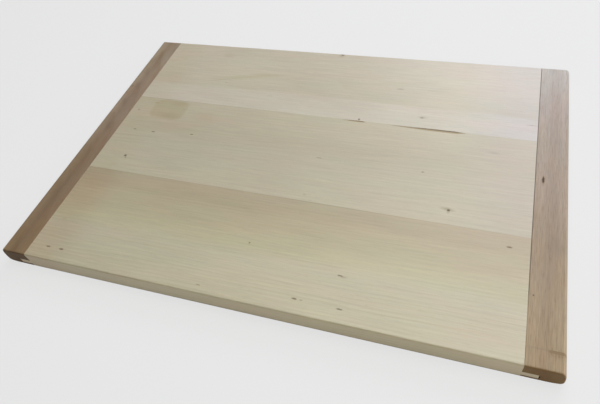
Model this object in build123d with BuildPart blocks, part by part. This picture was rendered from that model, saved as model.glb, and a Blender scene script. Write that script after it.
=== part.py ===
"""Flat rectangular wooden board with breadboard ends.

Three pale planks are glued edge to edge into a panel. Each end of the panel carries a long
tongue, and a grooved hardwood board is glued over each tongue to keep the panel flat.

The planks run along X and the end boards along Y. +Z is up, and the origin is at the middle
of the underside.
"""

from build123d import *

import math
import os

# ---- overall size, mm ----
board_length = 600.0  # X, over both end boards
board_depth = 400.0  # Y, front edge to back edge
board_thickness = 24.0  # Z
arris_radius = 1.8  # easing of the long front and back edges, all round

# ---- end boards ----
end_board_width = 35.0  # X, from the shoulder joint to the outer edge
outer_round_width = 5.5  # elliptical round-over of the upper outer edge, along X
outer_round_height = 16.0  # the same round-over, along Z
relief_width = 15.0  # the underside lifts towards the outer edge over this width
relief_radius = 45.0  # of that lift, which starts level with the underside
lower_corner_radius = 5.0  # between the lift and the upright outer edge

# ---- tongue and groove ----
tongue_length = 14.0  # along X, beyond the shoulder
tongue_thickness = 6.5
tongue_underside = 4.3  # height of the tongue's lower cheek above the board's underside
glue_space = 1.0  # the groove is this much deeper than the tongue is long

# ---- long edges of the planks ----
# Each is given by its distance from the front of the board at the left shoulder and at the
# right one. The planks are slightly tapered, so the two glue lines aren't quite square.
front_edge = (0.0, 0.0)
front_glue_line = (135.5, 130.5)
back_glue_line = (271.5, 265.5)
back_edge = (board_depth, board_depth)

# ---- worked out from the above ----
half_length = board_length / 2
half_depth = board_depth / 2
shoulder = half_length - end_board_width  # X of the joint between panel and end board
tongue_tip = shoulder + tongue_length
groove_floor = tongue_tip + glue_space
tongue_top = tongue_underside + tongue_thickness
relief_start = half_length - relief_width
relief_rise = (relief_width - lower_corner_radius) / (relief_radius - lower_corner_radius)
relief_angle = math.degrees(math.asin(relief_rise))
outer_round_base = board_thickness - outer_round_height
outer_round_start = half_length - outer_round_width
touching = 0.01  # two positions closer than this are the same


def edge_y(line, x):
    """Y of a plank's long edge at x."""
    left, right = line
    share = (x + shoulder) / (2 * shoulder)
    return left + (right - left) * share - half_depth


def plan_corners(front, back, reach):
    """Corners, seen from above, of a plank that runs from -reach to reach along X."""
    return [
        (-reach, edge_y(front, -reach)),
        (reach, edge_y(front, reach)),
        (reach, edge_y(back, reach)),
        (-reach, edge_y(back, -reach)),
    ]


def plank(name, front, back):
    """One plank with a tongue at each end. A long edge on the outside of the board is eased."""
    with BuildPart() as piece:
        with BuildSketch():
            Polygon(*plan_corners(front, back, shoulder), align=None)
        extrude(amount=board_thickness)
        with BuildSketch(Plane.XY.offset(tongue_underside)):
            Polygon(*plan_corners(front, back, tongue_tip), align=None)
        extrude(amount=tongue_thickness)
        for outer_y in (-half_depth, half_depth):
            rim = piece.edges().filter_by(Axis.X).filter_by_position(Axis.Y, outer_y, outer_y)
            corners = [edge for edge in rim if at_surface(edge)]
            if corners:
                fillet(corners, arris_radius)
    piece.part.label = name
    return piece


def at_surface(edge):
    """True for an edge that lies level in the board's top or underside."""
    height = edge.center().Z
    return min(height, board_thickness - height) < touching


def on_rim(edge):
    """True for an edge round an end-grain face, but not for one at the groove or shoulder."""
    return at_surface(edge) or edge.center().X > groove_floor + touching


# ---- planks ----
front_plank = plank("front_plank", front_edge, front_glue_line)
middle_plank = plank("middle_plank", front_glue_line, back_glue_line)
back_plank = plank("back_plank", back_glue_line, back_edge)

# ---- right end board: a section drawn on XZ, seen from the front, and run back along Y ----
with BuildPart() as right_end_board:
    with BuildSketch(Plane.XZ.offset(-half_depth)):
        with BuildLine():
            Line((shoulder, 0), (relief_start, 0))
            lift = JernArc((relief_start, 0), (1, 0), relief_radius, relief_angle)
            corner = JernArc(lift @ 1, lift % 1, lower_corner_radius, 90 - relief_angle)
            Line(corner @ 1, (half_length, outer_round_base))
            EllipticalCenterArc(
                (outer_round_start, outer_round_base),
                outer_round_width,
                outer_round_height,
                start_angle=0,
                arc_size=90,
            )
            Polyline(
                (outer_round_start, board_thickness),
                (shoulder, board_thickness),
                (shoulder, tongue_top),
                (groove_floor, tongue_top),
                (groove_floor, tongue_underside),
                (shoulder, tongue_underside),
                (shoulder, 0),
            )
        make_face()
    extrude(amount=board_depth)
    end_grain = right_end_board.faces().sort_by(Axis.Y)
    for end_face in (end_grain[0], end_grain[-1]):
        fillet([edge for edge in end_face.edges() if on_rim(edge)], arris_radius)
right_end_board.part.label = "right_end_board"

# ---- left end board: the same section, turned to the other end ----
with BuildPart() as left_end_board:
    add(mirror(right_end_board.part, about=Plane.YZ))
left_end_board.part.label = "left_end_board"

# ---- one file for each piece ----
os.makedirs("parts", exist_ok=True)
for piece in (front_plank, middle_plank, back_plank, left_end_board, right_end_board):
    export_step(piece.part, f"parts/{piece.part.label}.step")
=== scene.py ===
"""Looks of a flat wooden board with breadboard ends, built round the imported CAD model.

The panel is three pale planks, grain along X, glued edge to edge. A beech board, grain along Y,
is glued over the tongues at each end. +Z is up and the origin is the middle of the underside.

Every piece is remade here as a finer mesh of the same size, with eased edges, the pits of its
small knots and an open seam in one glue line. The wood is a solid material: growth rings round a
pith line, fibres, pores and blemishes, all worked out from the place in the board.
"""

import math
from collections import namedtuple

import bmesh
import bpy
from mathutils import Matrix, Vector


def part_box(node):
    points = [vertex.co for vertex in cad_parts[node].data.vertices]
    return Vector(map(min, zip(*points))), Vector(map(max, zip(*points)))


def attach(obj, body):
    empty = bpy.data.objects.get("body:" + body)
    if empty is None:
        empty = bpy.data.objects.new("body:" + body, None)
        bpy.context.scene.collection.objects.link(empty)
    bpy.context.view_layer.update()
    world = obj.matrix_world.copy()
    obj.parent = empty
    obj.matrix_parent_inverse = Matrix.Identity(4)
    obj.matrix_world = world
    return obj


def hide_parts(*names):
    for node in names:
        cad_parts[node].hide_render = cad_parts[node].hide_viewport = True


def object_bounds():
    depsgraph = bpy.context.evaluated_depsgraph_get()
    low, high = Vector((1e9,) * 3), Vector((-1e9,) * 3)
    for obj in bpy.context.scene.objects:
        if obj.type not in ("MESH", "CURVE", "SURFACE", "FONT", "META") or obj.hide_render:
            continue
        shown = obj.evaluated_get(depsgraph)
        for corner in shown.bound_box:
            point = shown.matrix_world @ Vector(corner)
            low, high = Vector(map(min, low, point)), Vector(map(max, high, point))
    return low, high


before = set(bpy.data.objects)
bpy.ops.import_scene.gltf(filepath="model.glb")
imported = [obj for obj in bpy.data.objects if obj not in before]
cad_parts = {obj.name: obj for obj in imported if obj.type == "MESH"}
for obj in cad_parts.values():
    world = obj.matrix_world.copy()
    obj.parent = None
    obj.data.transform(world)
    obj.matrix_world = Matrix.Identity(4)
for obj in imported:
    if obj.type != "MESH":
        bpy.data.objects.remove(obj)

CAD_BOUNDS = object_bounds()
MM = 0.001

# ---- places read from the frame, m ----
LEFT, FRONT, UNDERSIDE = CAD_BOUNDS[0]
RIGHT, BACK, TOP = CAD_BOUNDS[1]
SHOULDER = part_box("right_end_board")[0].x
TONGUE_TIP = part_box("middle_plank")[1].x

# Y of each plank's long edge at the left and right tongue tips. The glue lines run a little nearer
# to the front at the right.
FRONT_EDGE = (FRONT, FRONT)
FRONT_GLUE = (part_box("front_plank")[1].y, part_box("middle_plank")[0].y)
BACK_GLUE = (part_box("middle_plank")[1].y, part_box("back_plank")[0].y)
BACK_EDGE = (BACK, BACK)

# ---- sizes that the boxes don't give, m ----
ARRIS = 1.8 * MM  # easing of the front and back edges, all along the board
GLUE_EASE = 0.12 * MM  # where two planks meet
SHOULDER_EASE = {"left": 0.12 * MM, "right": 0.45 * MM}  # the right joint stands a little open
TONGUE_UNDER = 4.3 * MM  # heights of the tongue's lower and upper cheeks
TONGUE_TOP = 10.8 * MM
GROOVE_FLOOR = TONGUE_TIP + 1.0 * MM
OUTER_ROUND_WIDTH = 5.5 * MM  # elliptical round-over of an end board's upper outer edge
OUTER_ROUND_HEIGHT = 16.0 * MM
RELIEF_WIDTH = 15.0 * MM  # an end board's underside lifts over this width, on this radius
RELIEF_RADIUS = 45.0 * MM
LOWER_CORNER = 5.0 * MM  # radius between that lift and the upright outer edge

# ---- mesh fineness ----
COARSE = 9.0 * MM  # widest spacing of a plank's or an end board's grid lines
SECTION_STEP = {"top": 2.5 * MM, "underside": 4.0 * MM}  # the same across an end board
SEAM_STEP = 10.0 * MM  # width of each spot of fine grid lines along the seam
ARC_STEPS = 6  # segments in the quarter round of an eased edge
ROUND_STEPS = 16  # segments in the end boards' round-over
CORNER_STEPS = 8  # and in their lower corner
RELIEF_STEPS = 10  # and in the lift of their underside
LINE_GAP = 0.32 * MM  # a grid line nearer than this to another is left out
SAME_POINT = 0.0004 * MM  # vertices nearer than this are one
SHARP_ANGLE = math.radians(50)  # a steeper corner is shaded as a corner

# A blemish, in mm: x from the board's left end and y from its front edge, half its length along
# the grain and half its width across it, its turn in degrees, its tint, how strongly it covers the
# wood, and the depth of the pit that it leaves. A soft one fades from its middle, and a boxy one
# has nearly straight sides.
Mark = namedtuple("Mark", "x y long wide turn tint cover pit soft boxy")


def mark(x, y, long, wide, tint, cover=0.85, turn=0.0, pit=0.0, soft=False, boxy=False):
    """A blemish, with the usual values for what isn't said."""
    return Mark(x, y, long, wide, turn, tint, cover, pit, soft, boxy)


# ---- wood tints, linear RGB ----
KNOT = (0.120, 0.088, 0.058)
PUPIL = (0.085, 0.053, 0.030)
FLECK = (0.225, 0.165, 0.108)
AMBER = (0.330, 0.205, 0.090)
STAIN = (0.330, 0.255, 0.140)
TEA = (0.370, 0.290, 0.120)
GREY_SMUDGE = (0.260, 0.210, 0.150)
PALE_HALO = (0.720, 0.660, 0.500)
ROSE = (0.520, 0.400, 0.270)
SEAM = (0.115, 0.078, 0.038)
RUST = (0.225, 0.138, 0.048)
GOLD = (0.345, 0.250, 0.115)
OLIVE = (0.270, 0.215, 0.110)
HONEY = (0.520, 0.455, 0.285)

# ---- tints that multiply a wood's colour ----
PALE_LATE = (0.84, 0.77, 0.66)  # the planks' late wood
EDGE_FACE_SHADE = (0.95, 0.885, 0.76)  # painted shade: the planks' front and back faces, darker and warmer where less light reaches them
PALE_HUES = ((1.018, 0.992, 0.985), (0.988, 1.004, 0.985))  # their warm and cool patches
BEECH_LATE = (0.76, 0.64, 0.50)
BEECH_PORES = (0.62, 0.52, 0.40)
BEECH_HUES = ((1.03, 0.99, 0.95), (1.0, 1.0, 1.0))
EDGE_SHEEN = (1.20, 1.22, 1.26)  # painted highlight: a cool sheen on the end boards' rounded outer edges
# painted shadow: darkens the rounded lower rim where the board meets the floor
CONTACT_SHADE = (0.42, 0.39, 0.34)

MARKS = {
    "front_plank": [
        mark(545, 116, 3.2, 1.1, FLECK, pit=0.15),
        mark(286, 68, 1.3, 1.2, AMBER, pit=0.10),
        mark(391, 50, 3.4, 0.9, FLECK, turn=-3, pit=0.12),
        mark(394, 49, 5.5, 1.8, STAIN, cover=0.5, soft=True),
        mark(354, 16, 3.2, 1.1, FLECK, pit=0.12),
        mark(361, 16, 2.0, 0.8, STAIN, cover=0.7),
        mark(400, 15, 3.8, 1.0, FLECK, cover=0.8, pit=0.10),
        mark(252, 9, 3.0, 0.9, STAIN, cover=0.7),
        mark(58, 16, 3.4, 1.0, FLECK, cover=0.85, pit=0.10),
        mark(76, 16, 3.4, 1.3, FLECK, pit=0.12),
        mark(53, 55, 4.5, 2.2, STAIN, cover=0.25, soft=True),
    ],
    "middle_plank": [
        mark(91, 251.5, 26.0, 19.0, TEA, cover=0.28, turn=-2, boxy=True),
        mark(98, 240, 22.0, 8.0, STAIN, cover=0.27, soft=True),
        mark(102, 264, 18.0, 7.0, STAIN, cover=0.22, soft=True),
        mark(66, 262, 5.0, 1.5, STAIN, cover=0.5, soft=True),
        mark(110, 221, 42.0, 15.0, ROSE, cover=0.38, soft=True),
        mark(150, 244, 24.0, 13.0, ROSE, cover=0.45, soft=True),
        mark(46, 245, 1.6, 1.2, STAIN, cover=0.8),
        mark(61, 208, 2.6, 0.9, FLECK, cover=0.8, pit=0.08),
        mark(90, 207, 3.2, 1.1, FLECK, cover=0.8, pit=0.10),
        mark(146, 211, 3.0, 0.9, FLECK, cover=0.8, pit=0.10),
        mark(74, 161, 2.2, 2.0, KNOT, cover=0.8, pit=0.25),
        mark(76, 158, 1.4, 3.4, STAIN, cover=0.6, turn=25, soft=True),
        mark(324, 199, 4.0, 0.9, STAIN, cover=0.7),
        mark(447, 198, 2.2, 0.8, FLECK, cover=0.8, pit=0.08),
        mark(482, 150, 13.0, 9.0, PALE_HALO, cover=0.22, soft=True),
        mark(481, 151, 9.5, 3.0, OLIVE, cover=0.62, turn=-7, soft=True),
        mark(482, 149, 2.4, 4.4, OLIVE, cover=0.60, soft=True),
        mark(482, 150, 1.7, 1.4, KNOT, pit=0.20),
        mark(324, 142, 3.0, 1.6, STAIN, cover=0.4, soft=True),
        mark(520, 240, 8.0, 2.6, GREY_SMUDGE, cover=0.30, soft=True),
    ],
    "back_plank": [
        mark(300, 399, 2.6, 3.2, KNOT, pit=0.25),
        mark(299, 396, 5.5, 4.5, AMBER, cover=0.45, soft=True),
        mark(395, 335, 6.5, 1.7, GREY_SMUDGE, cover=0.55, soft=True),
        mark(431, 285, 2.8, 1.2, FLECK, cover=0.65, pit=0.12),
        mark(432, 286, 7.0, 2.6, STAIN, cover=0.38, soft=True),
        mark(355, 271, 1.6, 2.0, KNOT, cover=0.7, pit=0.20),
        mark(558, 291, 9.0, 0.8, GREY_SMUDGE, cover=0.6, soft=True),
        mark(150, 317, 2.0, 0.8, STAIN, cover=0.5),
        mark(224, 298, 7.0, 0.9, STAIN, cover=0.35, soft=True),
        mark(178, 333, 70.0, 5.5, HONEY, cover=0.55, turn=11, soft=True),
        mark(204, 340, 30.0, 2.4, HONEY, cover=0.60, turn=3, soft=True),
        mark(140, 322, 34.0, 2.0, STAIN, cover=0.16, turn=15, soft=True),
        mark(128, 378, 12.0, 7.0, STAIN, cover=0.22, soft=True),
    ],
    "left_end_board": [
        mark(18, 208, 11.0, 5.0, KNOT, cover=0.24, turn=20, soft=True),
        mark(14, 258, 12.0, 4.5, KNOT, cover=0.28, turn=24, soft=True),
        mark(17, 293, 13.0, 5.0, FLECK, cover=0.36, turn=20, soft=True),
        mark(15, 324, 13.0, 4.5, KNOT, cover=0.24, turn=26, soft=True),
        mark(17, 367, 15.0, 5.0, RUST, cover=0.40, turn=14, soft=True),
        mark(9, 291, 2.2, 1.0, KNOT, cover=0.5),
    ],
    "right_end_board": [
        mark(573, 209, 5.5, 1.4, PUPIL, cover=1.0, pit=0.25),
        mark(573, 208, 9.5, 2.4, RUST, cover=0.65, soft=True),
        mark(569, 68, 1.2, 0.9, KNOT, cover=0.8, pit=0.10),
        mark(586, 127, 17.0, 8.0, FLECK, cover=0.42, soft=True),
        mark(591, 121, 14.0, 6.5, FLECK, cover=0.28, soft=True),
        mark(584, 145, 55.0, 6.0, FLECK, cover=0.12, soft=True),
        mark(586, 325, 75.0, 5.0, FLECK, cover=0.12, soft=True),
        mark(580, 18.0, 1.1, 17.0, FLECK, cover=0.32),
        mark(593, 15.5, 3.6, 10.5, RUST, cover=0.42, soft=True),
        mark(592.5, 17.5, 1.4, 9.0, RUST, cover=0.95, boxy=True),
        mark(586, 17.5, 5.0, 0.7, RUST, cover=0.70),
        mark(589, 13.0, 6.5, 0.9, RUST, cover=0.50),
        mark(591.5, 16.5, 4.0, 0.7, RUST, cover=0.70),
        mark(594, 14.5, 5.5, 0.9, RUST, cover=0.45),
        mark(584, 14.5, 5.5, 0.8, RUST, cover=0.35),
    ],
}

OUTLINE_WOBBLE = 1.1  # how uneven the blemishes' outlines are, mm

# The open seam in the back glue line: x of the start and the end of its two stretches from the
# board's left end, and how wide and deep it gets, mm.
SEAM_STRETCHES = ((328.0, 366.0, 0.6, 0.15), (376.0, 490.0, 1.0, 0.3))

# The seam's stain and then its gap: how far the middle of each lies in front of the glue line and
# half its width, both as shares of the seam's width, and its tint.
SEAM_LAYERS = ((0.9, 2.2, GOLD), (0.0, 0.8, SEAM))

# The gap at each end joint hardly shows up to the first distance from the front edge, mm, and
# shows fully from the second.
JOINT_CLOSED, JOINT_OPEN = 45.0, 90.0


def on_board(x, y):
    """A place in the frame, from mm measured from the board's left end and front edge."""
    return LEFT + x * MM, FRONT + y * MM


def edge_y(line, x):
    """Y of a plank's long edge at x."""
    share = (x + TONGUE_TIP) / (2 * TONGUE_TIP)
    return line[0] + (line[1] - line[0]) * share


# ---------------------------------------------------------------- meshes


def drop(distance, radius):
    """How far a rounded edge lies below the flat, at a distance in from the edge."""
    if distance >= radius:
        return 0.0
    return radius - math.sqrt(radius ** 2 - (radius - distance) ** 2)


def arc_lines(radius):
    """Distances in from an edge at which its quarter round needs a grid line."""
    turns = [math.pi / 2 * i / ARC_STEPS for i in range(ARC_STEPS + 1)]
    return [radius * (1 - math.cos(turn)) for turn in turns]


def spread(start, stop, step):
    """Evenly spaced values from start to stop, no further apart than step."""
    count = max(1, math.ceil((stop - start) / step - 1e-6))
    return [start + (stop - start) * i / count for i in range(count + 1)]


def grid_lines(start, stop, fixed, spots):
    """Sorted grid lines: coarse ones, the fixed ones, and fine ones round each (middle, reach)."""
    lines = spread(start, stop, COARSE)
    for middle, reach in spots:
        lines = [v for v in lines if abs(v - middle) > reach or v in (start, stop)]
        lines += spread(middle - reach, middle + reach, reach / 4)
    kept = sorted(fixed)
    for value in lines:
        if start < value < stop and min(abs(value - other) for other in kept) > LINE_GAP:
            kept.append(value)
    return sorted(kept)


def pits_in(node):
    """The blemishes of a node that leave a pit."""
    return [blemish for blemish in MARKS[node] if blemish.pit]


def pit_depth(blemish, x, y, along_y=False):
    """Depth of a blemish's pit at a place: a smooth hollow, zero outside it."""
    middle_x, middle_y = on_board(blemish.x, blemish.y)
    reach_x, reach_y = blemish.long * MM, blemish.wide * MM
    if along_y:
        reach_x, reach_y = reach_y, reach_x
    away = ((x - middle_x) / reach_x) ** 2 + ((y - middle_y) / reach_y) ** 2
    if away >= 1:
        return 0.0
    return blemish.pit * MM * (1 - away) ** 2


def seam_depth(x, y):
    """Depth of the open seam at a place, on either side of the back glue line."""
    for start, stop, width, depth in SEAM_STRETCHES:
        share = (x - LEFT - start * MM) / ((stop - start) * MM)
        if 0 < share < 1:
            swell = math.sin(math.pi * share ** 1.5) ** 0.7
            away = abs(y - edge_y(BACK_GLUE, x)) / (width * MM * swell)
            if away < 1:
                return depth * MM * swell * (1 - away ** 2)
    return 0.0


def new_object(name, vertices, faces):
    """A mesh object with its faces turned outwards, shaded smooth except at real corners."""
    mesh = bpy.data.meshes.new(name)
    mesh.from_pydata(vertices, [], faces)
    shape = bmesh.new()
    shape.from_mesh(mesh)
    bmesh.ops.remove_doubles(shape, verts=shape.verts, dist=SAME_POINT)
    bmesh.ops.recalc_face_normals(shape, faces=shape.faces)
    shape.to_mesh(mesh)
    shape.free()
    mesh.shade_smooth()
    mesh.set_sharp_from_angle(angle=SHARP_ANGLE)
    piece = bpy.data.objects.new(name, mesh)
    bpy.context.scene.collection.objects.link(piece)
    flat = piece.modifiers.new("flats_stay_flat", "WEIGHTED_NORMAL")
    flat.keep_sharp = True
    flat.weight = 50
    return piece


def swept(loops):
    """Vertices and side faces of a closed loop of points that is carried along a path."""
    count = len(loops[0])
    vertices = [point for loop in loops for point in loop]
    faces = []
    for step in range(len(loops) - 1):
        for i in range(count):
            j = (i + 1) % count
            near, far = step * count, (step + 1) * count
            faces.append((near + i, near + j, far + j, far + i))
    return vertices, faces


def add_grid(vertices, faces, columns):
    """Adds a rectangle of points, given as columns, and the faces between them."""
    base = len(vertices)
    rows = len(columns[0])
    for column in columns:
        vertices.extend(column)
    for i in range(len(columns) - 1):
        for j in range(rows - 1):
            corner = base + i * rows + j
            faces.append((corner, corner + 1, corner + rows + 1, corner + rows))


def plank_lines(name, front, back, front_ease, back_ease):
    """A plank's grid lines: x along it, and distances back from its front edge."""
    width = edge_y(back, 0) - edge_y(front, 0)
    spots_x, spots_y = [], []
    for pit in pits_in(name):
        x, y = on_board(pit.x, pit.y)
        spots_x.append((x, pit.long * MM))
        spots_y.append((y - edge_y(front, x), pit.wide * MM))
    fixed_x = [-SHOULDER + v for v in arc_lines(SHOULDER_EASE["left"])]
    fixed_x += [SHOULDER - v for v in arc_lines(SHOULDER_EASE["right"])]
    fixed_y = arc_lines(front_ease) + [width - v for v in arc_lines(back_ease)]
    if BACK_GLUE in (front, back):
        for start, stop, reach, _ in SEAM_STRETCHES:
            middle = LEFT + (start + stop) / 2 * MM
            spots_x += [(middle + i * SEAM_STEP, SEAM_STEP / 2) for i in range(-4, 5)]
            steps = [reach * MM * i / 5 for i in range(1, 8)]
            fixed_y += [width - v for v in steps] if back == BACK_GLUE else steps
    lines_x = grid_lines(-SHOULDER, SHOULDER, fixed_x, spots_x)
    return lines_x, grid_lines(0, width, fixed_y, spots_y)


def plank(name, front, back, front_ease, back_ease):
    """A plank between two long edges, tapered as they run, with a tongue at each end."""
    width = edge_y(back, 0) - edge_y(front, 0)
    lines_x, lines_y = plank_lines(name, front, back, front_ease, back_ease)

    def place_y(x, depth):
        near = edge_y(front, x)
        return near + depth * (edge_y(back, x) - near) / width

    def easing(x, depth):
        return max(
            drop(depth, front_ease),
            drop(width - depth, back_ease),
            drop(x + SHOULDER, SHOULDER_EASE["left"]),
            drop(SHOULDER - x, SHOULDER_EASE["right"]),
        )

    def top_z(x, depth):
        y = place_y(x, depth)
        pits = sum(pit_depth(pit, x, y) for pit in pits_in(name))
        return TOP - easing(x, depth) - max(pits, seam_depth(x, y))

    right = [(SHOULDER, TONGUE_TOP), (TONGUE_TIP, TONGUE_TOP)]
    right += [(TONGUE_TIP, TONGUE_UNDER), (SHOULDER, TONGUE_UNDER)]
    loops = []
    for depth in lines_y:
        loop = [(x, place_y(x, depth), top_z(x, depth)) for x in lines_x]
        loop += [(x, place_y(x, depth), z) for x, z in right]
        loop += [(x, place_y(x, depth), UNDERSIDE + easing(x, depth)) for x in reversed(lines_x)]
        loop += [(-x, place_y(-x, depth), z) for x, z in reversed(right)]
        loops.append(loop)
    vertices, faces = swept(loops)

    for depth in (0.0, width):
        columns = []
        for x in lines_x:
            heights = (UNDERSIDE + easing(x, depth), TONGUE_UNDER, TONGUE_TOP, top_z(x, depth))
            columns.append([(x, place_y(x, depth), z) for z in heights])
        add_grid(vertices, faces, columns)
        for side in (-1, 1):
            ends = (side * SHOULDER, side * TONGUE_TIP)
            cheeks = (TONGUE_TOP, TONGUE_UNDER)
            add_grid(vertices, faces, [[(x, place_y(x, depth), z) for z in cheeks] for x in ends])
    return new_object(name + "_wood", vertices, faces)


def end_board_section():
    """Right end board's section: (x, z, direction out of the wood), from the top joint round.

    The shoulder and groove have no outward direction, because the rim's easing passes them by."""
    flat, none = (0.0, 1.0), (0.0, 0.0)
    ease = SHOULDER_EASE["right"]
    round_x, round_z = RIGHT - OUTER_ROUND_WIDTH, TOP - OUTER_ROUND_HEIGHT
    section = []
    for inset in arc_lines(ease):
        section.append((SHOULDER + inset, TOP - drop(inset, ease), flat))
    for x in spread(SHOULDER + 2 * ease, round_x, SECTION_STEP["top"])[:-1]:
        section.append((x, TOP, flat))
    for i in range(ROUND_STEPS + 1):
        turn = math.pi / 2 * (1 - i / ROUND_STEPS)
        out = Vector((math.cos(turn) / OUTER_ROUND_WIDTH, math.sin(turn) / OUTER_ROUND_HEIGHT))
        x = round_x + OUTER_ROUND_WIDTH * math.cos(turn)
        z = round_z + OUTER_ROUND_HEIGHT * math.sin(turn)
        section.append((x, z, tuple(out.normalized())))
    lift_angle = math.asin((RELIEF_WIDTH - LOWER_CORNER) / (RELIEF_RADIUS - LOWER_CORNER))
    lift_x = RIGHT - RELIEF_WIDTH
    corner_z = RELIEF_RADIUS - (RELIEF_RADIUS - LOWER_CORNER) * math.cos(lift_angle)
    corner_x = RIGHT - LOWER_CORNER
    for i in range(CORNER_STEPS + 1):
        turn = math.pi / 2 + (lift_angle - math.pi / 2) * i / CORNER_STEPS
        out = (math.sin(turn), -math.cos(turn))
        section.append((corner_x + LOWER_CORNER * out[0], corner_z + LOWER_CORNER * out[1], out))
    for i in range(1, RELIEF_STEPS + 1):
        turn = lift_angle * (1 - i / RELIEF_STEPS)
        out = (math.sin(turn), -math.cos(turn))
        section.append((lift_x + RELIEF_RADIUS * out[0], RELIEF_RADIUS * (1 + out[1]), out))
    for x in spread(SHOULDER, lift_x, SECTION_STEP["underside"])[-2::-1]:
        section.append((x, UNDERSIDE, (0.0, -1.0)))
    section += [(SHOULDER, TONGUE_UNDER, none), (GROOVE_FLOOR, TONGUE_UNDER, none)]
    section += [(GROOVE_FLOOR, TONGUE_TOP, none), (SHOULDER, TONGUE_TOP, none)]
    return section


def end_board(name, side):
    """An end board: the section run from front to back, with its end-grain rims eased."""
    section = end_board_section()
    pits = pits_in(name)
    spots = [(on_board(pit.x, pit.y)[1], pit.long * MM) for pit in pits]
    fixed = [FRONT + v for v in arc_lines(ARRIS)] + [BACK - v for v in arc_lines(ARRIS)]
    loops = []
    for y in grid_lines(FRONT, BACK, fixed, spots):
        rim = drop(min(y - FRONT, BACK - y), ARRIS)
        loop = []
        for x, z, out in section:
            faces_up = out[1] > 0.3
            hollow = sum(pit_depth(pit, side * x, y, along_y=True) for pit in pits)
            inward = rim + (hollow if faces_up else 0.0)
            loop.append((side * (x - out[0] * inward), y, z - out[1] * inward))
        loops.append(loop)
    vertices, faces = swept(loops)
    count = len(loops[0])
    faces.append(tuple(range(count)))
    faces.append(tuple(range(len(vertices) - count, len(vertices))))
    return new_object(name + "_wood", vertices, faces)


# ---------------------------------------------------------------- materials


class Graph:
    """Adds linked nodes to a material. An input is another node's output or a plain value."""

    def __init__(self, name):
        self.material = bpy.data.materials.new(name)
        self.material.use_nodes = True
        self.tree = self.material.node_tree
        self.tree.nodes.clear()

    def node(self, kind, inputs=None, output=0, **settings):
        """A node with its settings and inputs set. Gives the chosen output."""
        made = self.tree.nodes.new("ShaderNode" + kind)
        for key, value in settings.items():
            setattr(made, key, value)
        for key, value in (inputs or {}).items():
            if isinstance(value, bpy.types.NodeSocket):
                self.tree.links.new(value, made.inputs[key])
            else:
                made.inputs[key].default_value = value
        return made.outputs[output] if made.outputs else None

    def math(self, operation, a, b=0.0, c=0.0):
        return self.node("Math", {0: a, 1: b, 2: c}, operation=operation)

    def vector(self, operation, a, b=(0.0, 0.0, 0.0)):
        return self.node("VectorMath", {0: a, 1: b}, operation=operation)

    def length(self, a):
        return self.node("VectorMath", {0: a}, output=1, operation="LENGTH")

    def fade(self, value, start, stop, low=0.0, high=1.0):
        """A smooth step from low at start to high at stop."""
        inputs = {"Value": value, "From Min": start, "From Max": stop, "To Min": low, "To Max": high}
        return self.node("MapRange", inputs, interpolation_type="SMOOTHSTEP")

    def noise(self, grain, along, across, detail=2.0, rough=0.5):
        """Noise between about 0.25 and 0.75, drawn out along the grain.

        Along and across are its steps per mm in those directions."""
        drawn_out = self.vector("MULTIPLY", grain, (along, across, across))
        inputs = {"Vector": drawn_out, "Scale": 1.0, "Detail": detail, "Roughness": rough}
        return self.node("TexNoise", inputs)

    def mix(self, factor, a, b, blend="MIX"):
        """Colour b laid over colour a. With MULTIPLY, b tints a instead of covering it."""
        inputs = {0: factor, 6: self.colour(a), 7: self.colour(b)}
        return self.node("Mix", inputs, output=2, data_type="RGBA", blend_type=blend)

    def colour(self, value):
        """A colour with its alpha, or the node output unchanged."""
        return value if isinstance(value, bpy.types.NodeSocket) else (*value[:3], 1.0)

    def ramp(self, value, stops):
        """A colour ramp with its stops given as (place, colour)."""
        made = self.tree.nodes.new("ShaderNodeValToRGB")
        elements = made.color_ramp.elements
        while len(elements) < len(stops):
            elements.new(0.5)
        for element, (place, tint) in zip(elements, stops):
            element.position = place
            element.color = (*tint, 1.0)
        self.tree.links.new(value, made.inputs[0])
        return made.outputs[0]

    def shade(self, colour, value):
        """A colour made lighter or darker by a factor."""
        grey = self.node("CombineColor", {0: value, 1: value, 2: value})
        return self.mix(1.0, colour, grey, "MULTIPLY")

    def xyz(self, vector):
        """The three parts of a vector."""
        parts = self.tree.nodes.new("ShaderNodeSeparateXYZ")
        self.tree.links.new(vector, parts.inputs[0])
        return tuple(parts.outputs)

    def combine(self, x, y, z):
        return self.node("CombineXYZ", {0: x, 1: y, 2: z})


def board_place(graph):
    """The place in the board, mm from the middle of its underside."""
    return scaled(graph, graph.node("TexCoord", output=3), 1 / MM)


def scaled(graph, vector, factor):
    """A vector multiplied by a plain number."""
    return graph.node("VectorMath", {0: vector, "Scale": factor}, operation="SCALE")


# Growth rings: where their pith line passes the board's middle, across the grain and in height,
# how far it leans per mm along the grain, the rings' spacing and how far they wander, mm.
Rings = namedtuple("Rings", "across height lean_across lean_height spacing wander")
RIPPLE = 0.12  # the rings' fine ripple, as a share of their wander


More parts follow.
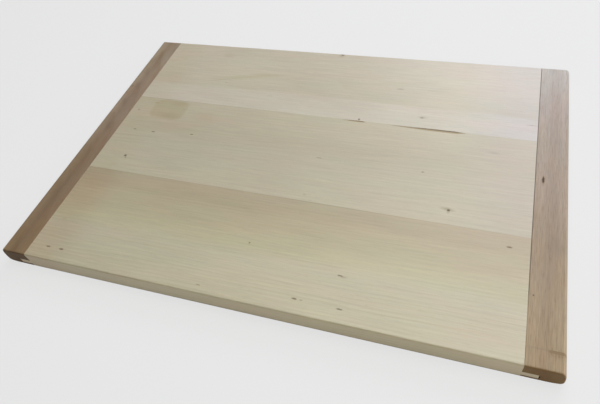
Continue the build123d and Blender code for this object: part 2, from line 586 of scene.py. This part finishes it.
def growth_rings(graph, grain, rings):
    """Dark late wood, 0 to 1, in rings that wander a little round a leaning pith line."""
    along, across, height = graph.xyz(grain)
    drift = graph.noise(grain, 0.006, 0.03, detail=3.0)
    ripple = graph.noise(grain, 0.02, 0.15)
    from_pith_y = graph.math("MULTIPLY_ADD", along, -rings.lean_across, across)
    from_pith_z = graph.math("MULTIPLY_ADD", along, -rings.lean_height, height)
    from_pith_y = graph.math("SUBTRACT", from_pith_y, rings.across)
    from_pith_z = graph.math("SUBTRACT", from_pith_z, rings.height)
    radius = graph.length(graph.combine(0.0, from_pith_y, from_pith_z))
    radius = graph.math("MULTIPLY_ADD", drift, rings.wander, radius)
    radius = graph.math("MULTIPLY_ADD", ripple, rings.wander * RIPPLE, radius)
    year = graph.math("DIVIDE", radius, rings.spacing)
    part = graph.math("FRACT", year)
    rise = graph.fade(part, 0.35, 0.88)
    fall = graph.fade(part, 0.90, 1.0, 1.0, 0.0)
    number = graph.math("FLOOR", year)
    vigour = graph.node("TexWhiteNoise", {"W": number}, noise_dimensions="1D")
    strength = graph.math("MULTIPLY_ADD", vigour, 0.7, 0.3)
    late = graph.math("MULTIPLY", rise, fall)
    return graph.math("MULTIPLY", late, strength)


def blemish_cover(graph, place, blemish, along_y):
    """How much a blemish covers the wood here, 0 to its own cover. It stays near the top face."""
    x, y = blemish.x - RIGHT / MM, blemish.y - BACK / MM
    depth = max(3.0, 2 * blemish.wide)
    turn = math.radians(blemish.turn + (90 if along_y else 0))
    inputs = {
        "Vector": place,
        "Location": (x, y, TOP / MM),
        "Rotation": (0, 0, turn),
        "Scale": (blemish.long, blemish.wide, depth),
    }
    away = graph.node("Mapping", inputs, vector_type="TEXTURE")
    solid_to = 0.45
    if blemish.boxy:
        away = graph.vector("MULTIPLY", away, away)
        solid_to = 0.75
    if blemish.soft:
        solid_to = 0.0
    return graph.fade(graph.length(away), solid_to, 1.2, blemish.cover, 0.0)


def add_blemishes(graph, colour, place, node, along_y=False):
    """The wood's colour under the node's blemishes, soft ones first, their outlines uneven.

    Also gives how dull the surface is, up to 1 in the knots that leave a pit."""
    dull = 0.0
    wobble = graph.node("TexNoise", {"Vector": place, "Scale": 0.45, "Detail": 3.0}, output=1)
    wobble = graph.vector("SUBTRACT", wobble, (0.5, 0.5, 0.5))
    uneven = graph.vector("ADD", place, scaled(graph, wobble, OUTLINE_WOBBLE))
    for blemish in sorted(MARKS[node], key=lambda one: not one.soft):
        cover = blemish_cover(graph, uneven, blemish, along_y)
        colour = graph.mix(cover, colour, blemish.tint)
        if blemish.pit:
            dull = graph.math("MAXIMUM", dull, cover)
    return colour, dull


def distance_to_line(graph, place, line):
    """Distance in Y from a plank's long edge, mm, at a place in mm."""
    x, y, _ = graph.xyz(place)
    slope = (line[1] - line[0]) / (2 * TONGUE_TIP)
    middle = (line[0] + line[1]) / 2 / MM
    level = graph.math("MULTIPLY_ADD", x, -slope, y)
    return graph.math("SUBTRACT", level, middle)


def uneven_tone(graph, parts):
    """A factor near 1 made of noises, each given with how much it may change the tone."""
    tone = 1.0
    for noise, share in parts:
        tone = graph.math("ADD", tone, graph.math("MULTIPLY_ADD", noise, share, -share / 2))
    return tone


def banded(graph, level, bands):
    """A colour that changes with a distance in mm, from its (distance, colour) pairs."""
    first, last = bands[0][0], bands[-1][0]
    share = graph.math("MULTIPLY_ADD", level, 1 / (last - first), -first / (last - first))
    return graph.ramp(share, [((at - first) / (last - first), tint) for at, tint in bands])


def varied_hue(graph, colour, noise, warm, cool):
    """The colour, warmer where a noise is low and cooler where it is high."""
    tint = graph.mix(graph.fade(noise, 0.38, 0.62), warm, cool)
    return graph.mix(1.0, colour, tint, "MULTIPLY")


def near_joint(graph, place, line):
    """1 on a glue line, fading out within half a millimetre."""
    away = graph.math("ABSOLUTE", distance_to_line(graph, place, line))
    return graph.fade(away, 0.15, 0.55, 1.0, 0.0)


def near_shoulder(graph, place, side):
    """1 at the joint between the panel and an end board, fading where the joint closes up.

    Side is -1 for the left joint and 1 for the right one."""
    x, y, _ = graph.xyz(place)
    away = graph.math("ABSOLUTE", graph.math("SUBTRACT", x, side * SHOULDER / MM))
    gap = graph.fade(away, 0.2, 0.8, 1.0, 0.0)
    closed, opened = FRONT / MM + JOINT_CLOSED, FRONT / MM + JOINT_OPEN
    return graph.math("MULTIPLY", gap, graph.fade(y, closed, opened, 0.15, 1.0))


def facing(graph, axis, start, stop):
    """1 on a face that looks along an axis, 0 to 2, either way, and 0 on one that looks across it.

    It rises as that part of the face's direction goes from start to stop."""
    normal = graph.vector("ABSOLUTE", graph.node("TexCoord", output=1))
    return graph.fade(graph.xyz(normal)[axis], start, stop)


def painted_rim_shadow(graph, colour, place):
    """The colour with painted contact shadow on the rounded lower rim of the front and the back."""
    turned = facing(graph, 1, 0.05, 0.35)
    low = graph.fade(graph.xyz(place)[2], 1.3, 3.6, 0.9, 0.0)
    return graph.mix(graph.math("MULTIPLY", turned, low), colour, CONTACT_SHADE, "MULTIPLY")


def finish_wood(graph, colour, roughness, height, dull):
    """Closes a wood material: colour, roughness, relief in mm, and how dull it is, 0 to 1."""
    bump = graph.node("Bump", {"Strength": 1.0, "Distance": MM, "Height": height})
    inputs = {
        "Base Color": colour,
        "Roughness": roughness,
        "Normal": bump,
        "IOR": 1.5,
        "Specular IOR Level": graph.fade(dull, 0.0, 1.0, 0.5, 0.1),
        "Coat Weight": graph.fade(dull, 0.0, 1.0, 0.25, 0.0),
        "Coat Roughness": 0.38,
    }
    surface = graph.node("BsdfPrincipled", inputs)
    graph.node("OutputMaterial", {"Surface": surface})
    return graph.material


def plank_level(graph, place, front):
    """Distance from a plank's front edge, mm, swaying as the bands in its wood do."""
    sway = graph.noise(place, 0.008, 0.05, detail=3.0)
    sway = graph.math("MULTIPLY_ADD", sway, 2 * BAND_SWAY, -BAND_SWAY)
    return graph.math("ADD", distance_to_line(graph, place, front), sway)


def tint_ends(graph, colour, place, ends):
    """The colour, taking on a plank's two end tints towards its left and right ends. These are partly
    painted light: darker and warmer towards the left, where less light falls, and cooler towards the
    right, as a painted cool sheen.
    """
    x, _, _ = graph.xyz(place)
    for tint, (start, stop) in zip(ends, END_FADES):
        colour = graph.mix(graph.fade(x, start, stop), colour, tint, "MULTIPLY")
    return colour


def draw_joints(graph, colour, place, patch):
    """The colour with its glue lines, which come and go in patches, and the gaps at its ends."""
    lines = [near_joint(graph, place, line) for line in (FRONT_GLUE, BACK_GLUE)]
    shown = graph.fade(patch, 0.3, 0.7, 0.05, 0.3)
    glue = graph.math("MULTIPLY", graph.math("MAXIMUM", *lines), shown)
    colour = graph.mix(glue, colour, FLECK)
    for side, strength, tint in ((1, 0.75, KNOT), (-1, 0.25, FLECK)):
        gap = graph.math("MULTIPLY", near_shoulder(graph, place, side), strength)
        colour = graph.mix(gap, colour, tint)
    return colour


def pale_wood(name, front, back, bands, ends, rings, ring_depth):
    """Material of one plank. Bands are (mm from its front edge, colour), front to back.

    Ends are the tints that its left and right ends take on, partly painted light: darker and warmer
    towards the left, where less light falls, and cooler towards the right, as a painted cool sheen.
    Ring_depth says how much its late wood shows at its front and at its back."""
    graph = Graph(name)
    place = board_place(graph)
    late = growth_rings(graph, place, rings)
    patch = graph.noise(place, 0.008, 0.035)
    late = graph.math("MULTIPLY", late, graph.fade(patch, 0.36, 0.62, 0.35, 1.0))
    fibre = graph.noise(place, 0.016, 0.42, detail=5.0, rough=0.62)
    thread = graph.noise(place, 0.07, 2.4, detail=3.0, rough=0.6)
    cloud = graph.noise(place, 0.007, 0.02)
    hue = graph.noise(place, 0.012, 0.05, detail=3.0)
    pores = graph.fade(graph.noise(place, 0.14, 1.9, detail=1.0), 0.60, 0.74)

    level = plank_level(graph, place, front)
    # the end tints are partly painted light: shade at the left ends, a cool sheen at the right ends
    colour = tint_ends(graph, banded(graph, level, bands), place, ends)
    tone = uneven_tone(graph, ((fibre, 0.32), (thread, 0.20), (cloud, 0.16)))
    colour = varied_hue(graph, graph.shade(colour, tone), hue, *PALE_HUES)
    depth = graph.fade(level, bands[0][0], bands[-1][0], *ring_depth)
    colour = graph.mix(graph.math("MULTIPLY", late, depth), colour, PALE_LATE, "MULTIPLY")
    colour = graph.mix(graph.math("MULTIPLY", pores, 0.16), colour, STAIN)

    colour, dull = add_blemishes(graph, colour, place, name)
    colour = draw_joints(graph, colour, place, patch)
    if BACK_GLUE in (front, back):
        colour = add_seam(graph, colour, place)
    # painted shade on the planks' front and back faces
    colour = graph.mix(facing(graph, 1, 0.35, 0.95), colour, EDGE_FACE_SHADE, "MULTIPLY")
    # painted contact shadow along the lower rim of the front and back faces
    colour = painted_rim_shadow(graph, colour, place)

    roughness = graph.math("MULTIPLY_ADD", fibre, 0.16, 0.40)
    roughness = graph.math("MULTIPLY_ADD", late, -0.05, roughness)
    height = graph.math("MULTIPLY", fibre, 0.035)
    height = graph.math("MULTIPLY_ADD", thread, 0.014, height)
    height = graph.math("MULTIPLY_ADD", late, 0.008, height)
    return finish_wood(graph, colour, roughness, height, dull)


def add_seam(graph, colour, place):
    """The dark open seam in the back glue line, with the amber stain along its front side."""
    x, _, _ = graph.xyz(place)
    away = distance_to_line(graph, place, BACK_GLUE)
    rag = graph.noise(place, 0.35, 1.2, detail=3.0)
    away = graph.math("ADD", away, graph.math("MULTIPLY_ADD", rag, 0.8, -0.4))
    for start, stop, width, _ in SEAM_STRETCHES:
        middle = (start + stop) / 2 - RIGHT / MM
        reach = (stop - start) / 2
        along = graph.math("SUBTRACT", x, middle)
        opening = graph.fade(along, -reach, reach * 0.4)
        taper = graph.math("MULTIPLY", opening, graph.fade(along, reach * 0.7, reach, 1.0, 0.0))
        shown = graph.fade(taper, 0.0, 0.25)
        for forward, half_width, tint in SEAM_LAYERS:
            from_middle = graph.math("ABSOLUTE", graph.math("ADD", away, forward * width))
            past = graph.math("SUBTRACT", from_middle, graph.math("MULTIPLY", taper, width * half_width))
            mask = graph.fade(past, -0.5 * width, 0.15, 0.85, 0.0)
            colour = graph.mix(graph.math("MULTIPLY", mask, shown), colour, tint)
    return colour


# How strong an end board's broad streaks, fibres, streaks of pores and clouds are.
Figure = namedtuple("Figure", "streaks fibres pores clouds")


def end_grain_colour(graph, colour, speckle, tint):
    """The colour of an end board's end grain, darker and speckled."""
    colour = graph.mix(1.0, colour, tint, "MULTIPLY")
    return graph.shade(colour, graph.math("MULTIPLY_ADD", speckle, 0.9, 0.55))


def beech(name, side, bands, across, end_tint, rings, ring_depth, figure):
    """Steamed beech, grain along Y, with fine dark streaks. Bands are (mm from the front, colour).

    Side is -1 for the left end board and 1 for the right one. Across gives tints that multiply
    the colour, by distance from the joint, mm, and end_tint multiplies it on the end grain."""
    graph = Graph(name)
    place = board_place(graph)
    x, y, z = graph.xyz(place)
    grain = graph.combine(y, x, z)
    late = growth_rings(graph, grain, rings)
    streak = graph.noise(grain, 0.007, 0.20, detail=3.0)
    fibre = graph.noise(grain, 0.040, 1.6, detail=4.0, rough=0.6)
    cloud = graph.noise(grain, 0.014, 0.06, detail=3.0)
    hue = graph.noise(grain, 0.020, 0.07)
    pores = graph.fade(graph.noise(grain, 0.085, 1.7), 0.50, 0.68)
    speckle = graph.noise(grain, 0.3, 5.0)

    colour = banded(graph, graph.math("SUBTRACT", y, FRONT / MM), bands)
    parts = ((streak, figure.streaks), (fibre, figure.fibres), (cloud, figure.clouds))
    colour = graph.shade(colour, uneven_tone(graph, parts))
    inset = graph.math("MULTIPLY_ADD", x, side, -SHOULDER / MM)
    colour = graph.mix(1.0, colour, banded(graph, inset, across), "MULTIPLY")
    colour = varied_hue(graph, colour, hue, *BEECH_HUES)
    colour = graph.mix(graph.math("MULTIPLY", late, ring_depth), colour, BEECH_LATE, "MULTIPLY")
    shown = graph.math("MULTIPLY", pores, figure.pores)
    colour = graph.mix(shown, colour, BEECH_PORES, "MULTIPLY")
    colour, dull = add_blemishes(graph, colour, place, name, along_y=True)
    gap = graph.math("MULTIPLY", near_shoulder(graph, place, side), 0.6 if side > 0 else 0.2)
    colour = graph.mix(gap, colour, KNOT)

    end_grain = facing(graph, 1, 0.35, 0.95)
    colour = graph.mix(end_grain, colour, end_grain_colour(graph, colour, speckle, end_tint))
    # painted highlight: a cool sheen on the rounded outer edges
    colour = graph.mix(facing(graph, 0, 0.10, 0.75), colour, EDGE_SHEEN, "MULTIPLY")
    # painted contact shadow along the lower rim of the front and back end faces
    colour = painted_rim_shadow(graph, colour, place)
    dull = graph.math("MAXIMUM", dull, graph.math("MULTIPLY", end_grain, 0.7))

    roughness = graph.math("MULTIPLY_ADD", fibre, 0.18, 0.38)
    roughness = graph.math("MULTIPLY_ADD", end_grain, 0.15, roughness)
    height = graph.math("MULTIPLY", fibre, 0.045)
    height = graph.math("MULTIPLY_ADD", pores, -0.03, height)
    height = graph.math("MULTIPLY_ADD", speckle, 0.02, height)
    return finish_wood(graph, colour, roughness, height, dull)


# ---------------------------------------------------------------- the pieces

BAND_SWAY = 7.0  # the planks' colour bands stray this far, mm, each way
END_FADES = ((-200.0, -245.0), (160.0, 255.0))  # where the end tints, partly painted light, begin and are full, mm of x

# Colour bands run from a plank's front edge to its back edge: (mm from its front edge, linear RGB).
PLANKS = {
    "front_plank": dict(
        edges=(FRONT_EDGE, FRONT_GLUE),
        eases=(ARRIS, GLUE_EASE),
        bands=[
            (0, (0.600, 0.550, 0.395)),
            (50, (0.580, 0.540, 0.395)),
            (66, (0.560, 0.523, 0.352)),
            (84, (0.527, 0.475, 0.322)),
            (104, (0.517, 0.455, 0.310)),
            (112, (0.490, 0.422, 0.288)),
            (134, (0.488, 0.420, 0.294)),
        ],
        ends=((0.93, 0.87, 0.84), (1.02, 1.00, 1.03)),
        rings=Rings(-420.0, -160.0, 0.02, 0.0, 3.6, 9.0),
        ring_depth=(0.42, 0.18),
    ),
    "middle_plank": dict(
        edges=(FRONT_GLUE, BACK_GLUE),
        eases=(GLUE_EASE, GLUE_EASE),
        bands=[
            (0, (0.556, 0.512, 0.380)),
            (60, (0.537, 0.498, 0.377)),
            (86, (0.522, 0.474, 0.352)),
            (110, (0.543, 0.490, 0.370)),
            (136, (0.543, 0.502, 0.373)),
        ],
        ends=((0.99, 0.965, 0.93), (0.98, 0.96, 1.03)),
        rings=Rings(-130.0, -150.0, 0.012, 0.01, 3.4, 9.0),
        ring_depth=(0.16, 0.18),
    ),
    "back_plank": dict(
        edges=(BACK_GLUE, BACK_EDGE),
        eases=(GLUE_EASE, ARRIS),
        bands=[
            (0, (0.608, 0.563, 0.463)),
            (34, (0.604, 0.555, 0.453)),
            (38, (0.565, 0.518, 0.398)),
            (100, (0.590, 0.536, 0.423)),
            (131, (0.592, 0.535, 0.430)),
        ],
        ends=((0.99, 0.965, 0.93), (0.97, 0.96, 1.10)),
        rings=Rings(128.0, -130.0, 0.0, 0.035, 3.6, 10.0),
        ring_depth=(0.15, 0.24),
    ),
}

# The end boards' bands also run from the front edge to the back edge.
END_BOARDS = {
    "left_end_board": dict(
        side=-1,
        bands=[
            (0, (0.321, 0.213, 0.113)),
            (60, (0.313, 0.212, 0.127)),
            (150, (0.321, 0.226, 0.141)),
            (220, (0.366, 0.274, 0.195)),
            (280, (0.382, 0.283, 0.205)),
            (360, (0.408, 0.325, 0.239)),
            (400, (0.386, 0.302, 0.213)),
        ],
        across=[
            (0, (0.90, 0.90, 0.90)),
            (8, (0.89, 0.90, 0.90)),
            (17, (0.77, 0.76, 0.74)),
            (25, (0.94, 0.98, 0.97)),
            (31, (0.94, 1.00, 1.00)),
        ],
        # the end grain's own darker colour; on this left board it is darker still, partly painted shade
        # on its end faces
        end_tint=(0.43, 0.34, 0.20),
        rings=Rings(-290.0, -40.0, 0.02, -0.08, 5.0, 6.0),
        ring_depth=0.34,
        figure=Figure(streaks=0.12, fibres=0.30, pores=0.34, clouds=0.18),
    ),
    "right_end_board": dict(
        side=1,
        # towards the back these bands turn greyer and bluer, partly the wood's tone and partly a painted
        # cool sheen from the light behind
        bands=[
            (10, (0.365, 0.263, 0.142)),
            (50, (0.359, 0.270, 0.163)),
            (135, (0.328, 0.243, 0.155)),
            (205, (0.358, 0.270, 0.195)),
            (265, (0.335, 0.268, 0.200)),
            (325, (0.367, 0.299, 0.250)),
            (392, (0.423, 0.386, 0.348)),
        ],
        across=[
            (0, (1.00, 1.00, 1.00)),
            (8, (1.00, 1.00, 1.00)),
            (17, (0.90, 0.87, 0.86)),
            (26, (0.99, 0.99, 0.99)),
        ],
        end_tint=(0.57, 0.46, 0.29),
        rings=Rings(420.0, -60.0, 0.0, 0.0, 4.6, 16.0),
        ring_depth=0.16,
        figure=Figure(streaks=0.16, fibres=0.85, pores=0.52, clouds=0.14),
    ),
}


def dress(piece, node, material):
    """Makes a piece stand for its CAD node."""
    piece.data.materials.append(material)
    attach(piece, "root")
    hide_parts(node)


def make_planks():
    for node, facts in PLANKS.items():
        front, back = facts["edges"]
        piece = plank(node, front, back, *facts["eases"])
        wood = {key: facts[key] for key in ("bands", "ends", "rings", "ring_depth")}
        look = pale_wood(node, front, back, **wood)
        dress(piece, node, look)


def make_end_boards():
    for node, facts in END_BOARDS.items():
        piece = end_board(node, facts["side"])
        look = beech(node, **facts)
        dress(piece, node, look)


# ---------------------------------------------------------------- the studio

CAMERA_PLACE = Vector((0.2048, -0.3905, 0.4695))
CAMERA_AIM = Vector((0.0404, -0.0474, 0.0240))
CAMERA_ROLL = math.radians(11.62)  # the camera leans this far clockwise
CAMERA_LENS = 31.17  # focal length, mm
CAMERA_SHIFT = (-0.035, -0.021)
BACKGROUND = (0.807, 0.807, 0.807)  # seen behind the board
WORLD_LIGHT = 0.10  # how strongly the same grey lights it
FLOOR_REACH = 30.0
FLOOR_GAP = 0.0002  # the floor lies this far under the board


def make_camera():
    data = bpy.data.cameras.new("camera")
    data.lens = CAMERA_LENS
    data.shift_x, data.shift_y = CAMERA_SHIFT
    data.clip_start = 0.01
    camera = bpy.data.objects.new("camera", data)
    bpy.context.scene.collection.objects.link(camera)
    look = (CAMERA_AIM - CAMERA_PLACE).to_track_quat("-Z", "Y").to_matrix().to_4x4()
    roll = Matrix.Rotation(-CAMERA_ROLL, 4, "Z")
    camera.matrix_world = Matrix.Translation(CAMERA_PLACE) @ look @ roll
    bpy.context.scene.camera = camera


def make_floor():
    """A pale floor that glows a little, as an evenly lit studio sweep does.

    It lights the board less than it shows to the camera, and least close under its edge."""
    corners = [(x * FLOOR_REACH, y * FLOOR_REACH) for x, y in ((-1, -1), (1, -1), (1, 1), (-1, 1))]
    mesh = bpy.data.meshes.new("floor")
    mesh.from_pydata([(x, y, UNDERSIDE - FLOOR_GAP) for x, y in corners], [], [(0, 1, 2, 3)])
    floor = bpy.data.objects.new("floor", mesh)
    bpy.context.scene.collection.objects.link(floor)
    graph = Graph("floor")
    lit = graph.node("AmbientOcclusion", {"Distance": 10 * MM}, output=1)
    shown = graph.math("MULTIPLY", graph.node("LightPath"), 0.68)
    glow = graph.math("MAXIMUM", graph.math("MULTIPLY", lit, 0.58), shown)
    paint = graph.node("BsdfPrincipled", {
        "Base Color": (0.15, 0.15, 0.15, 1.0),
        "Roughness": 0.9,
        "Specular IOR Level": 0.0,
        "Emission Color": (1.0, 1.0, 1.0, 1.0),
        "Emission Strength": glow,
    })
    graph.node("OutputMaterial", {"Surface": paint})
    mesh.materials.append(graph.material)


def make_light(name, place, size, power, tint=(1.0, 1.0, 1.0)):
    """A rectangular soft light that faces the board's middle. Its power is in watts."""
    data = bpy.data.lights.new(name, "AREA")
    data.shape = "RECTANGLE"
    data.size, data.size_y = size
    data.energy = power
    data.color = tint
    light = bpy.data.objects.new(name, data)
    bpy.context.scene.collection.objects.link(light)
    place = Vector(place)
    turn = (-place).to_track_quat("-Z", "Y").to_matrix().to_4x4()
    light.matrix_world = Matrix.Translation(place) @ turn


def make_lights():
    """A cool light behind the board, a warm one overhead, and weaker ones from three sides."""
    make_light("key", (0.48, 1.57, 1.15), (1.5, 0.9), 19.7, (0.91, 0.925, 1.0))
    make_light("overhead", (0.20, 0.28, 1.70), (1.4, 1.4), 15.8, (1.0, 0.985, 0.95))
    make_light("fill", (1.10, -0.80, 0.60), (0.6, 0.6), 5.0)
    make_light("right_side", (1.60, 0.45, 0.50), (1.2, 0.6), 4.5, (0.82, 0.89, 1.0))
    make_light("left_side", (-1.60, 0.20, 0.50), (1.2, 0.6), 1.0)


def make_world():
    """Even grey seen behind the board, and dimmer light from it all round."""
    world = bpy.data.worlds.new("studio")
    world.use_nodes = True
    tree = world.node_tree
    tree.nodes.clear()
    seen = tree.nodes.new("ShaderNodeBackground")
    seen.inputs[0].default_value = (*BACKGROUND, 1.0)
    lit = tree.nodes.new("ShaderNodeBackground")
    lit.inputs[0].default_value = (*BACKGROUND, 1.0)
    lit.inputs[1].default_value = WORLD_LIGHT
    path = tree.nodes.new("ShaderNodeLightPath")
    mix = tree.nodes.new("ShaderNodeMixShader")
    out = tree.nodes.new("ShaderNodeOutputWorld")
    tree.links.new(path.outputs["Is Camera Ray"], mix.inputs[0])
    tree.links.new(lit.outputs[0], mix.inputs[1])
    tree.links.new(seen.outputs[0], mix.inputs[2])
    tree.links.new(mix.outputs[0], out.inputs[0])
    bpy.context.scene.world = world


make_camera()
make_floor()
make_world()
make_lights()
make_planks()
make_end_boards()
bpy.context.scene.view_settings.view_transform = "Standard"
